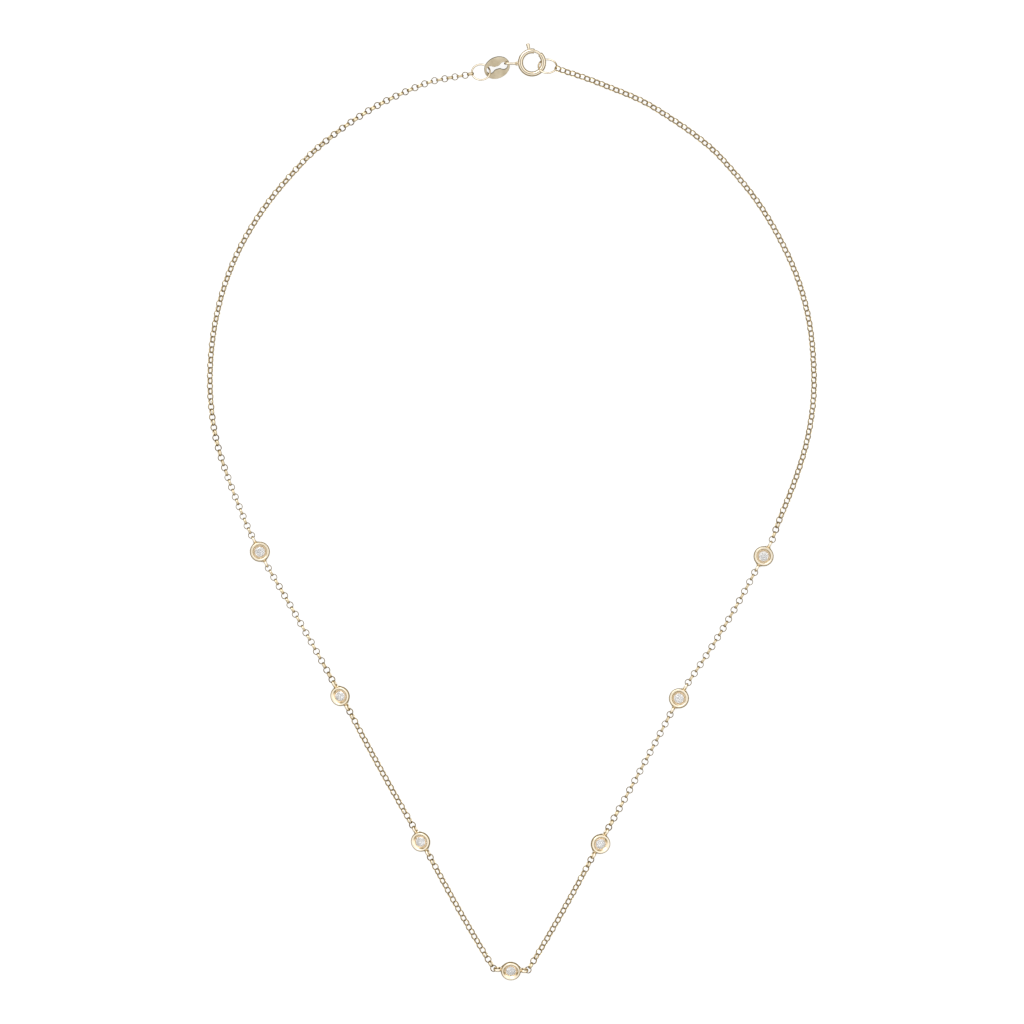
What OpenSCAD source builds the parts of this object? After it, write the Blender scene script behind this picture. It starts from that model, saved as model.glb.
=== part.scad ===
// Diamond station necklace, closed and lying flat: seven round diamonds in bezel cups
// on a fine belcher chain, with a spring ring clasp and an oval tag plate at the back.
// Units are millimetres. Z is up, Y runs from the bottom station to the clasp.

/* [Chain] */
// Outer diameter of a chain link
link_d = 1.24; // [1.22:0.01:1.26]
// Thickness of a link's band, measured towards its centre
link_wire = 0.085; // [0.08:0.005:0.085]
// Width of a link's band, measured along its axis
link_band = 0.38; // [0.3:0.01:0.38]
// Links in each front stretch, an odd number
front_links = 25; // [25:2:27]

/* [Settings] */
// Outer diameter of a bezel cup
cup_d = 3.54; // [3.4:0.02:3.6]
// Height of a cup from its back to its rim
cup_h = 1.6; // [1.5:0.05:1.8]
// Diameter of the light hole in a cup's back
back_hole_d = 0.9; // [0.7:0.05:1]
// Outer diameter of a soldered side loop
loop_d = 1.38; // [1.34:0.01:1.4]
// Wire diameter of a side loop
loop_wire = 0.24; // [0.2:0.01:0.26]

/* [Diamonds] */
// Girdle diameter of a diamond
stone_d = 2.1; // [2:0.02:2.2]
// Table width as a share of the girdle diameter
table_share = 0.57; // [0.53:0.01:0.62]
// Crown height as a share of the girdle diameter
crown_share = 0.15; // [0.13:0.01:0.16]
// Pavilion depth as a share of the girdle diameter
pavilion_share = 0.43; // [0.41:0.01:0.44]

/* [Clasp] */
// Outer diameter of the spring ring
clasp_d = 4.96; // [4.9:0.02:5.1]
// Diameter of the ring's tube
tube_d = 0.88; // [0.84:0.01:0.92]
// Diameter of the tongue wire that slides in the tube
tongue_d = 0.5; // [0.44:0.01:0.52]
// Diameter of the trigger knob at its outer end
knob_d = 0.62; // [0.6:0.02:0.7]
// How far the knob stands out of the tube
knob_h = 0.95; // [0.8:0.05:1]

/* [Rings and tag] */
// Outer diameter of the two large jump rings
jump_d = 3.5; // [3.4:0.05:3.6]
// Wire diameter of the jump rings
jump_wire = 0.3; // [0.26:0.01:0.3]
// Wire diameter of the small oval connector ring
connector_wire = 0.26; // [0.22:0.01:0.26]
// Height of the connector ring, which stands on edge
connector_h = 1.62; // [1.6:0.02:1.66]
// Long diameter of the oval tag plate
tag_l = 4.7; // [4.6:0.05:4.8]
// Short diameter of the oval tag plate
tag_w = 3.84; // [3.78:0.02:3.88]
// Thickness of the tag plate
tag_t = 0.42; // [0.36:0.02:0.42]

/* [Hidden] */

gold = "#e3c184";
pale_gold = "#efe0c0";
white_stone = "#f4f6fa";

// Clearance between pieces that touch on the real thing
piece_gap = 0.02;
// Heights: the chain's centreline, and the centreline of a level setting's loops
chain_z = link_d / 2;
loop_z = loop_d / 2 + 0.01;

// One row for each setting, from the upper left round the bottom to the upper right:
// its place, the direction of the chain through it, and how far it is rolled outwards
STATION_X = 0;
STATION_Y = 1;
STATION_YAW = 2;
STATION_ROLL = 3;
stations = [
    [-44.5, -7.1, -63, 0],
    [-30.2, -32.5, -61, 20],
    [-16, -58.2, -61, 20],
    [-0.2, -80.9, -2.5, 25],
    [15.5, -58.6, 61, 18],
    [29.5, -33, 60.5, -6],
    [44.4, -7.9, 61.5, 0]
];

// One row for each front stretch: its sideways bow, and the roll of its links half way
STRETCH_BOW = 0;
STRETCH_ROLL = 1;
stretches = [[0.1, 2], [-0.15, 44], [-0.2, 46], [-0.2, 46], [-0.1, 3], [-0.35, 2]];

// Routes of the two back chains, from the side setting up to the jump ring
left_route = [
    [-46, -4.2, 0.66], [-47.2, -1.5, 0.63], [-50, 5.6, 0.63], [-52.2, 12.6, 0.63],
    [-53.2, 19.7, 0.63], [-53.2, 26.7, 0.63], [-52.3, 33.8, 0.63], [-50.4, 40.9, 0.63],
    [-47.3, 47.9, 0.63], [-42.7, 55, 0.63], [-36.6, 62, 0.63], [-32.6, 65.6, 0.63],
    [-27.9, 69.1, 0.63], [-22.4, 72.4, 0.63], [-15.4, 75.5, 0.64], [-11.8, 76.4, 0.75],
    [-8.1, 77.02, 1.1]
];
right_route = [
    [45.9, -5, 0.66], [47.2, -1.5, 0.63], [50, 5.6, 0.63], [52.1, 12.6, 0.63],
    [53.2, 19.7, 0.63], [53.2, 26.7, 0.63], [52.4, 33.8, 0.63], [50.5, 40.9, 0.63],
    [47.4, 47.9, 0.63], [43.1, 55, 0.63], [37.3, 62, 0.63], [33.4, 65.6, 0.63],
    [28.5, 69.1, 0.63], [22.9, 72.5, 0.63], [15.9, 75.4, 0.68], [12.4, 76.7, 0.95],
    [8.8, 77.9, 1.35]
];
route_rings = 40;
route_sides = 8;

// Link band
link_r = link_d / 2;
link_hole_r = link_r - link_wire;
link_side_r = link_hole_r + 0.045;

// Setting
cup_r = cup_d / 2;
rim_round = 0.32;
rim_fall = 0.5;
rim_flat_r = cup_r - rim_round;
lip_top_r = 1.2;
lip_r = stone_d / 2 - 0.12;
lip_z = cup_h - 0.3;
lip_edge = 0.05;
lip_gap = 0.045;
// Outline of the bowl under the rim, as radius and height
bowl = [[0.6, 0], [0.95, 0.18], [1.4, 0.52], [cup_r - 0.1, 0.84],
    [cup_r, cup_h - rim_fall]];
loop_r = (loop_d - loop_wire) / 2;
loop_x = cup_r + loop_d / 2 - 0.06;
// How far the first link's centre stands beyond the loop's far wire, on a straight chain
first_link_reach = link_hole_r - loop_wire / 2 - 0.13;

// Diamond
stone_r = stone_d / 2;
table_r = stone_r * table_share;
crown_h = stone_d * crown_share;
girdle_h = 0.06;
pavilion_h = stone_d * pavilion_share;
crown_slope = crown_h / (stone_r - table_r);
pavilion_slope = pavilion_h / stone_r;
girdle_z = lip_z - lip_edge - lip_gap - crown_slope * (stone_r - lip_r);

// Clasp
clasp_at = [3.53, 79.25, 1.05];
clasp_r = (clasp_d - tube_d) / 2;
bore_d = tongue_d + 0.1;
mouth_right = 46;
mouth_left = 79;
bore_right_end = 22;
bore_left_end = 162;
tongue_tip = 36;
tongue_tail = 112;
knob_angle = 103;
knob_travel = 40;
knob_neck_d = 0.3;
slot_w = knob_neck_d + 0.1;
eye_angle = 184;
eye_hole_r = 0.19;
eye_wire = 0.2;
eye_r = eye_hole_r + eye_wire / 2;
eye_reach = clasp_d / 2 + eye_hole_r + 0.01;
eye_at = clasp_at + eye_reach * [cos(eye_angle), sin(eye_angle), 0];

// Tag plate
tag_at = [-2.65, 78.35, 0.92];
tag_angle = 29;
tag_tip = 20;
tag_slot_angle = 17;
tag_hole_r = 0.69;
tag_hole_x = 1.22;
tag_waist = 0.57;
tag_steps = 60;

// Jump rings and connector ring
jump_r = (jump_d - jump_wire) / 2;
jump_left_at = [-5.48, 77.54, 1.06];
jump_left_tip = -29;
jump_right_at = [6.27, 78.58, clasp_at[2] + 0.2];
jump_right_tip = -39;
connector_left_x = -1.29;
connector_r = (connector_h - connector_wire) / 2;
connector_straight = eye_at[0] - connector_left_x - 2 * connector_r;
end_left_at = [-7.34, 77.21, 1.2];
end_left_yaw = 9;
end_left_roll = 84;
end_right_at = [8.1, 78.11, 1.5];
end_right_yaw = -19;
end_right_roll = 45;

function mix(a, b, t) = a + (b - a) * t;
function lengthwise(station) = [cos(station[STATION_YAW]), sin(station[STATION_YAW]), 0];
function unit(v) = v / norm(v);

// How much a rolled setting is lifted, so that its bowl still rests on the surface
function roll_lift(roll) =
    max([for (p = bowl) p[0] * abs(sin(roll)) - (p[1] - loop_z) * cos(roll)]) - loop_z;
function station_at(station) =
    [station[STATION_X], station[STATION_Y], loop_z + roll_lift(station[STATION_ROLL])];

// The far wire of a setting's loop, and the direction of the stretch after setting i
function far_wire(i, side) =
    station_at(stations[i]) + side * (loop_x + loop_r) * lengthwise(stations[i]);
function stretch_way(i) =
    let (way = far_wire(i + 1, -1) - far_wire(i, 1)) unit([way[0], way[1], 0]);
// How straight the stretch meets setting j: 1 where it runs on in line with the loops
function straightness(i, j) = lengthwise(stations[j]) * stretch_way(i);

// Place of link k of a front stretch, k from 0 to front_links - 1
function link_at(i, k) =
    let (
        along = stretch_way(i),
        side = [-along[1], along[0], 0],
        a = far_wire(i, 1) + first_link_reach * straightness(i, i) * along,
        b = far_wire(i + 1, -1) - first_link_reach * straightness(i, i + 1) * along,
        t = k / (front_links - 1),
        settle = min(1, 3 * t, 3 * (1 - t)),
        height = mix(mix(a[2], b[2], t), chain_z, settle)
    )
    [for (c = [0:1]) mix(a[c], b[c], t) + side[c] * stretches[i][STRETCH_BOW] * 4 * t * (1 - t),
     height];
// Roll of a link about the chain: from one setting's roll through the stretch's to the next
function link_roll(i, k) =
    let (
        t = k / (front_links - 1),
        first = stations[i][STATION_ROLL] * straightness(i, i),
        last = stations[i + 1][STATION_ROLL] * straightness(i, i + 1)
    )
    mix(mix(first, last, t), stretches[i][STRETCH_ROLL], min(1, 1.4 * sin(180 * t)))
    + 90 * (k % 2);

// Points along a smooth route through the given points
function blend_point(p0, p1, p2, p3, t) =
    0.5 * (2 * p1 + (p2 - p0) * t + (2 * p0 - 5 * p1 + 4 * p2 - p3) * t * t
    + (3 * p1 - p0 - 3 * p2 + p3) * t * t * t);
function route_point(route, s) =
    let (n = len(route) - 1, i = min(floor(s * n), n - 1))
    blend_point(route[max(i - 1, 0)], route[i], route[i + 1], route[min(i + 2, n)], s * n - i);

// A solid link of the chain, lying flat, with its band thinned towards both edges
module link_ring() {
    edge = link_band / 2;
    rotate_extrude($fn = 32)
        polygon([
            [link_hole_r, -0.03], [link_side_r, -edge], [link_r, -0.1],
            [link_r, 0.1], [link_side_r, edge], [link_hole_r, 0.03]
        ]);
}

module wire_ring(r, wire) {
    rotate_extrude($fn = 48) translate([r, 0]) circle(d = wire, $fn = 24);
}

module wire_arc(r, wire, from, to) {
    rotate([0, 0, from])
        rotate_extrude(angle = to - from, $fn = 96) translate([r, 0]) circle(d = wire, $fn = 24);
}

// Puts a setting's own frame, with its origin under the cup, at its place on the chain
module at_station(i) {
    station = stations[i];
    translate(station_at(station))
        rotate([0, 0, station[STATION_YAW]])
            rotate([station[STATION_ROLL], 0, 0])
                translate([0, 0, -loop_z]) children();
}

module cup() {
    seat_r = stone_r + piece_gap;
    seat_z = girdle_z - girdle_h - 1.8 * piece_gap;
    ledge_r = 0.8;
    rotate_extrude($fn = 64)
        polygon(concat(
            [[back_hole_d / 2, 0]],
            bowl,
            [for (a = [15:15:90]) [rim_flat_r + rim_round * cos(a), cup_h - rim_fall * (1 - sin(a))]],
            [
                [lip_top_r + 0.1, cup_h - 0.01],
                [lip_top_r, cup_h - 0.09],
                [lip_r, lip_z],
                [lip_r, lip_z - lip_edge],
                [seat_r, girdle_z + piece_gap / 2],
                [seat_r, seat_z],
                [ledge_r, seat_z - pavilion_slope * (stone_r - ledge_r)],
                [0.62, 0.45],
                [back_hole_d / 2, 0.14]
            ]
        ));
}

// A side loop and the shoulder that flows from the cup into its near wire. It starts inside
// the cup's wall, and its underside is flat, so that it doesn't hang out below the bowl
module side_loop() {
    near_x = loop_x - loop_r;
    start_x = cup_r - 0.57;
    under_z = loop_z - 0.2;
    shoulder = [
        [0, start_x], [0.6, start_x], [0.6, cup_r - 0.32], [0.48, cup_r - 0.17],
        [0.36, cup_r - 0.03], [0.27, near_x + 0.03], [0.2, near_x + 0.11], [0.1, near_x + 0.15],
        [0, near_x + 0.15]
    ];
    translate([loop_x, 0, loop_z]) rotate([90, 0, 0]) wire_ring(loop_r, loop_wire);
    difference() {
        translate([0, 0, loop_z]) rotate([0, 90, 0]) rotate_extrude($fn = 32) polygon(shoulder);
        cylinder(h = cup_h, r = start_x + 0.03, $fn = 64);
        translate([start_x - 0.1, -1, 0]) cube([1, 2, under_z]);
    }
}

module setting(i) {
    color(gold) at_station(i) {
        cup();
        side_loop();
        mirror([1, 0, 0]) side_loop();
    }
}

// Round brilliant: table, stars, kites, a plain girdle, lower halves and pavilion mains
module brilliant() {
    star_r = (table_r + stone_r) / 2;
    star_z = crown_h - crown_slope * (star_r * cos(22.5) - table_r);
    low_r = stone_r * 0.24;
    low_z = -girdle_h - pavilion_h + pavilion_slope * low_r * cos(22.5);
    function ring(n, r, z, turn) = [for (i = [0:n - 1]) [r * cos(360 * i / n + turn),
        r * sin(360 * i / n + turn), z]];
    table = 0;
    star = 8;
    top = 16;
    bottom = 32;
    low = 48;
    culet = 56;
    points = concat(
        ring(8, table_r, crown_h, 0), ring(8, star_r, star_z, 22.5),
        ring(16, stone_r, 0, 0), ring(16, stone_r, -girdle_h, 0),
        ring(8, low_r, low_z, 22.5), [[0, 0, -girdle_h - pavilion_h]]
    );
    faces = concat(
        [[for (i = [7:-1:0]) table + i]],
        [for (i = [0:7]) [star + i, table + i, table + (i + 1) % 8]],
        [for (i = [0:7]) [table + i, star + i, top + 2 * i, star + (i + 7) % 8]],
        [for (i = [0:7]) [star + i, top + 2 * i + 1, top + 2 * i]],
        [for (i = [0:7]) [star + i, top + (2 * i + 2) % 16, top + 2 * i + 1]],
        [for (i = [0:15]) [top + i, top + (i + 1) % 16, bottom + (i + 1) % 16, bottom + i]],
        [for (i = [0:7]) [low + i, bottom + 2 * i, bottom + 2 * i + 1]],
        [for (i = [0:7]) [low + i, bottom + 2 * i + 1, bottom + (2 * i + 2) % 16]],
        [for (i = [0:7]) [culet, low + (i + 7) % 8, bottom + 2 * i, low + i]]
    );
    polyhedron(points, faces);
}

module diamond(i) {
    color(white_stone) at_station(i) translate([0, 0, girdle_z]) brilliant();
}

module chain_front(i) {
    color(pale_gold)
        for (k = [0:front_links - 1]) {
            along = unit(link_at(i, min(k + 1, front_links - 1)) - link_at(i, max(k - 1, 0)));
            translate(link_at(i, k))
                rotate([link_roll(i, k), -asin(along[2]), atan2(along[1], along[0])]) link_ring();
        }
}

// Outer form of a back chain: one tube swept along its route
module chain_back(route) {
    rings = [for (j = [0:route_rings - 1])
        let (
            s = j / (route_rings - 1),
            step = 0.2 / route_rings,
            here = route_point(route, s),
            along = unit(route_point(route, min(s + step, 1)) - route_point(route, max(s - step, 0))),
            side = unit(cross([0, 0, 1], along)),
            up = cross(along, side)
        )
        for (a = [0:route_sides - 1])
            here + link_r * (cos(360 * a / route_sides) * side + sin(360 * a / route_sides) * up)
    ];
    last = (route_rings - 1) * route_sides;
    color(pale_gold) polyhedron(rings, concat(
        [[for (a = [0:route_sides - 1]) a]],
        [[for (a = [route_sides - 1:-1:0]) last + a]],
        [for (j = [0:route_rings - 2]) for (a = [0:route_sides - 1])
            let (b = (a + 1) % route_sides, low = j * route_sides, high = low + route_sides)
            [low + b, low + a, high + a, high + b]]
    ));
}

module end_link_left() {
    color(pale_gold) translate(end_left_at)
        rotate([end_left_roll, 0, end_left_yaw]) link_ring();
}

module end_link_right() {
    color(pale_gold) translate(end_right_at)
        rotate([end_right_roll, 0, end_right_yaw]) link_ring();
}

module jump_ring_left() {
    color(gold) translate(jump_left_at) rotate([jump_left_tip, 0, 0]) wire_ring(jump_r, jump_wire);
}

module jump_ring_right() {
    color(gold) translate(jump_right_at) rotate([jump_right_tip, 0, 0]) wire_ring(jump_r, jump_wire);
}

// Oval plate with a bare face, pierced by two holes that a narrow slot joins
module tag_plate() {
    color("#cdb88c") translate(tag_at)
        rotate([0, 0, tag_slot_angle]) rotate([tag_tip, 0, 0])
            linear_extrude(tag_t, center = true)
                difference() {
                    rotate(tag_angle - tag_slot_angle)
                        polygon([for (i = [0:tag_steps - 1])
                            [tag_l / 2 * cos(360 * i / tag_steps), tag_w / 2 * sin(360 * i / tag_steps)]]);
                    for (side = [-1, 1]) translate([side * tag_hole_x, 0]) circle(tag_hole_r, $fn = 48);
                    square([2 * tag_hole_x, tag_waist], center = true);
                }
}

// Oval ring on edge: two half rings joined by straight wires
module connector_ring() {
    middle_x = (connector_left_x + eye_at[0]) / 2;
    color(gold) translate([middle_x, eye_at[1], clasp_at[2]]) rotate([90, 0, 0]) {
        for (turn = [0, 180]) rotate([0, 0, turn]) {
            translate([connector_straight / 2, 0, 0])
                wire_arc(connector_r, connector_wire, -90, 90);
            translate([-connector_straight / 2, connector_r, 0]) rotate([0, 90, 0])
                cylinder(h = connector_straight, d = connector_wire, $fn = 24);
        }
    }
}

module clasp_ring() {
    slot_from = knob_angle - 6;
    slot_to = knob_angle + knob_travel + 6;
    color(gold) translate(clasp_at)
        difference() {
            union() {
                wire_arc(clasp_r, tube_d, mouth_left, mouth_right + 360);
                translate(eye_at - clasp_at) wire_ring(eye_r, eye_wire);
            }
            wire_arc(clasp_r, bore_d, mouth_left - 1, bore_left_end);
            wire_arc(clasp_r, bore_d, bore_right_end, mouth_right + 1);
            rotate([0, 0, slot_from])
                rotate_extrude(angle = slot_to - slot_from, $fn = 96)
                    translate([clasp_r, -slot_w / 2]) square([tube_d, slot_w]);
        }
}

// Tongue wire with its trigger knob, a turned pin that stands out through the tube's slot
module clasp_bolt() {
    collar_x = clasp_d / 2 + 0.04;
    tip_x = clasp_d / 2 + knob_h;
    neck_r = knob_neck_d / 2;
    knob_r = knob_d / 2;
    color(gold) translate(clasp_at) {
        wire_arc(clasp_r, tongue_d, tongue_tip, tongue_tail);
        rotate([0, 0, knob_angle]) rotate([0, 90, 0])
            rotate_extrude($fn = 32)
                polygon([
                    [0, clasp_r], [neck_r, clasp_r], [neck_r, collar_x], [0.25, collar_x],
                    [knob_r, tip_x - 0.16], [knob_r - 0.05, tip_x - 0.04], [knob_r - 0.14, tip_x],
                    [0, tip_x]
                ]);
    }
}

setting(0);  // setting_1
setting(1);  // setting_2
setting(2);  // setting_3
setting(3);  // setting_4
setting(4);  // setting_5
setting(5);  // setting_6
setting(6);  // setting_7
diamond(0);  // diamond_1
diamond(1);  // diamond_2
diamond(2);  // diamond_3
diamond(3);  // diamond_4
diamond(4);  // diamond_5
diamond(5);  // diamond_6
diamond(6);  // diamond_7
chain_front(0);  // chain_front_1
chain_front(1);  // chain_front_2
chain_front(2);  // chain_front_3
chain_front(3);  // chain_front_4
chain_front(4);  // chain_front_5
chain_front(5);  // chain_front_6
chain_back(left_route);  // chain_back_left
chain_back(right_route);  // chain_back_right
end_link_left();
end_link_right();
jump_ring_left();
jump_ring_right();
tag_plate();
connector_ring();
clasp_ring();
clasp_bolt();
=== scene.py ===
"""Dressed visual model of a diamond station necklace, laid flat in a closed loop.

Sizes inside the classes are millimetres in the necklace's own frame: +Z up from the
surface, +Y from the bottom setting to the clasp. Meshes are turned to metres when done.
"""

import logging
import math
from collections.abc import Sequence
from dataclasses import dataclass
from enum import Enum

import bmesh
import bpy
from mathutils import Matrix, Vector


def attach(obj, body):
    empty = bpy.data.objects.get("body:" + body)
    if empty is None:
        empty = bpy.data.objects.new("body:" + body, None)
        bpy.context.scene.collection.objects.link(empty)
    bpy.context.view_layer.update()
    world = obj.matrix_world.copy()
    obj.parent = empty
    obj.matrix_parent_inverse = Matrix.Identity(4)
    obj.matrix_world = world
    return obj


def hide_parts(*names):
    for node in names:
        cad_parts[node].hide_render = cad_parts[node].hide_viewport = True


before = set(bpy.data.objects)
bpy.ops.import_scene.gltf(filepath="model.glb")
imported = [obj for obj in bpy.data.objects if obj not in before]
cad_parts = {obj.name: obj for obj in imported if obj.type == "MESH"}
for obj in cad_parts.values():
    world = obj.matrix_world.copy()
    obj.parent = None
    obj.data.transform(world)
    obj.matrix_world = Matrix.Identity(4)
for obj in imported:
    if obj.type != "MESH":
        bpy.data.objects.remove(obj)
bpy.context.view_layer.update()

LOG = logging.getLogger("necklace")
MM = 0.001
MERGE_MM = 1e-4
CREASE = 38.0
NOISE_MEAN = 0.5
NOISE_ROUGHNESS = 0.55

Point = tuple[float, float, float]
Profile = Sequence[tuple[float, float]]
Stops = Sequence[tuple[float, Point]]


class Body(Enum):
    """The bodies that pieces move with."""

    NECKLACE = "necklace"
    BOLT = "clasp_bolt"


class Slot(Enum):
    """The record's material slots."""

    POLISHED = "polished_gold"
    CHAIN = "chain_gold"
    SATIN = "satin_gold"
    STONE = "diamond"


class Side(Enum):
    """The two sides of the necklace, seen from above."""

    LEFT = "left"
    RIGHT = "right"


# Node trees

class Flow:
    """A node's output that takes part in Python arithmetic."""

    def __init__(self, maker: "NodeMaker", socket: bpy.types.NodeSocket | None) -> None:
        """Wraps an output in the maker's tree, or None for a node without outputs."""
        self.maker = maker
        self.socket = socket

    def _math(self, operation: str, *values: "Flow | float") -> "Flow":
        """Adds one Math node."""
        return self.maker.node("ShaderNodeMath", {"operation": operation}, dict(enumerate(values)))

    def __add__(self, other: "Flow | float") -> "Flow":
        """Returns self + other."""
        return self._math("ADD", self, other)

    __radd__ = __add__

    def __sub__(self, other: "Flow | float") -> "Flow":
        """Returns self - other."""
        return self._math("SUBTRACT", self, other)

    def __rsub__(self, other: "Flow | float") -> "Flow":
        """Returns other - self."""
        return self._math("SUBTRACT", other, self)

    def __mul__(self, other: "Flow | float") -> "Flow":
        """Returns self * other."""
        return self._math("MULTIPLY", self, other)

    __rmul__ = __mul__

    def __mod__(self, other: "Flow | float") -> "Flow":
        """Returns self % other."""
        return self._math("MODULO", self, other)

    def __lt__(self, other: "Flow | float") -> "Flow":
        """Returns 1 where self < other, and 0 elsewhere."""
        return self._math("LESS_THAN", self, other)


class NodeMaker:
    """Fills one node tree. Every node comes from its one method."""

    STOPS = "stops"

    def __init__(self, tree: bpy.types.NodeTree) -> None:
        """Clears the tree and keeps it."""
        tree.nodes.clear()
        self.tree = tree

    def node(self, kind: str, settings: dict[str, object] | None = None,
             inputs: dict[int | str, object] | None = None, output: int | str = 0) -> Flow:
        """Adds a node.

        Args:
            kind: The node's type.
            settings: Its own properties and a ramp's stops, set before its sockets.
            inputs: Values or links of its sockets, by place or name.
            output: The output to return, by place or name.

        Returns:
            The chosen output, or an empty flow for a node without outputs.
        """
        made = self.tree.nodes.new(kind)
        for name, value in (settings or {}).items():
            if name == self.STOPS:
                self._set_stops(made.color_ramp.elements, value)
            else:
                setattr(made, name, value)
        for key, value in (inputs or {}).items():
            if isinstance(value, Flow):
                self.tree.links.new(value.socket, made.inputs[key])
            else:
                made.inputs[key].default_value = value
        return Flow(self, made.outputs[output] if made.outputs else None)

    @staticmethod
    def _set_stops(elements: bpy.types.ColorRampElements, stops: Stops) -> None:
        """Sets a colour ramp.

        Args:
            elements: The ramp's elements.
            stops: Positions and colours, from low to high.
        """
        while len(elements) < len(stops):
            elements.new(1.0)
        for element, (position, colour) in zip(elements, stops):
            element.position = position
            element.color = (*colour, 1.0)


class Shader(NodeMaker):
    """The node tree of one material or of the world."""

    def __init__(self, owner: bpy.types.Material | bpy.types.World) -> None:
        """Starts the owner's tree."""
        owner.use_nodes = True
        super().__init__(owner.node_tree)

    def noise(self, scale: float, detail: float = 2.0, stretch: Point = (1.0, 1.0, 1.0)) -> Flow:
        """Adds noise on object coordinates.

        Args:
            scale: Features per metre.
            detail: Octaves of finer noise.
            stretch: Scale along each axis.

        Returns:
            The noise, around its mean.
        """
        place = self.node("ShaderNodeTexCoord", output="Object")
        placed = self.node("ShaderNodeMapping", {}, {"Vector": place, "Scale": stretch})
        return self.node("ShaderNodeTexNoise", {"noise_dimensions": "3D"}, {
            "Vector": placed, "Scale": scale, "Detail": detail, "Roughness": NOISE_ROUGHNESS})

    def drift(self, scale: float, span: tuple[float, float], *colours: Point) -> Flow:
        """Drifts from one colour to another where coarse noise passes a span."""
        stops = tuple(zip(span, colours))
        return self.node("ShaderNodeValToRGB", {self.STOPS: stops}, {"Fac": self.noise(scale)})


# Finishes

@dataclass(frozen=True)
class GoldFinish:
    """A yellow gold surface.

    Attributes:
        name: The material's name.
        colour: Colour of the metal.
        warm: Warmer colour that drifts in over the surface.
        roughness: Mean roughness.
        spread: How far the roughness wanders.
        grain: Height of the finest marks, in metres.
        stretch: Stretch of the marks along each axis.
        hollow: Colour of painted light, laid where a mesh marks it: painted reflection of gold in
            gold, or painted shade.
        drift_scale, drift_span: Patches of the warmer colour per metre, and the noise at
            which it starts and is full.
        marks_scale, marks_detail: Fine marks per metre, and octaves of finer ones.
        marks_strength: How strongly the marks show.
    """

    # Mesh attribute that marks where painted reflection and painted shade go.
    PAINTED_LIGHT = "hollow"

    name: str
    colour: Point
    warm: Point
    roughness: float
    spread: float
    grain: float
    stretch: Point = (1.0, 1.0, 1.0)
    # Painted reflection: a warmer, deeper gold that stands in for gold mirrored in gold inside the
    # settings' cups.
    hollow: Point = (0.95, 0.74, 0.46)
    drift_scale: float = 420.0
    drift_span: tuple[float, float] = (0.35, 0.75)
    marks_scale: float = 5200.0
    marks_detail: float = 4.0
    marks_strength: float = 0.35

    def material(self) -> bpy.types.Material:
        """Builds the material.

        Returns:
            The finished material.
        """
        made = bpy.data.materials.new(self.name)
        shader = Shader(made)
        marks = shader.noise(self.marks_scale, self.marks_detail, self.stretch)
        plain = shader.drift(self.drift_scale, self.drift_span, self.colour, self.warm)
        # Painted light: where the mesh is marked, the base colour turns to the painted reflection
        # or painted shade colour.
        painted_light_mask = shader.node("ShaderNodeAttribute", {"attribute_name": self.PAINTED_LIGHT}, output="Fac")
        colour = shader.node("ShaderNodeMix", {"data_type": "RGBA"}, {
            "Factor": painted_light_mask, "A": plain, "B": (*self.hollow, 1.0)}, "Result")
        relief = shader.node("ShaderNodeBump", {}, {
            "Height": marks, "Strength": self.marks_strength, "Distance": self.grain})
        metal = shader.node("ShaderNodeBsdfPrincipled", {}, {
            "Base Color": colour, "Metallic": 1.0, "Normal": relief,
            "Roughness": self.roughness + (marks - NOISE_MEAN) * self.spread})
        shader.node("ShaderNodeOutputMaterial", {}, {"Surface": metal})
        return made


@dataclass(frozen=True)
class StoneFinish:
    """A clear, colourless brilliant.

    Attributes:
        name: The material's name.
        colour: Body colour.
        cool: Cooler body colour that drifts in.
        ior, roughness: Refractive index and surface roughness.
        clear: How much of the light goes through; the rest scatters as in fine sparkle.
        drift_scale, drift_span: Patches of the cooler colour per metre, and the noise up to
            which it is full and at which it ends.
    """

    name: str = "brilliant_white"
    colour: Point = (1.0, 1.0, 1.0)
    cool: Point = (0.97, 0.98, 1.0)
    ior: float = 2.417
    roughness: float = 0.1
    clear: float = 0.56
    drift_scale: float = 900.0
    drift_span: tuple[float, float] = (0.3, 0.8)

    def material(self) -> bpy.types.Material:
        """Builds the material.

        Returns:
            The finished material.
        """
        made = bpy.data.materials.new(self.name)
        shader = Shader(made)
        colour = shader.drift(self.drift_scale, self.drift_span, self.cool, self.colour)
        stone = shader.node("ShaderNodeBsdfPrincipled", {}, {
            "Base Color": colour, "Roughness": self.roughness, "IOR": self.ior,
            "Transmission Weight": self.clear})
        shader.node("ShaderNodeOutputMaterial", {}, {"Surface": stone})
        return made


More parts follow.
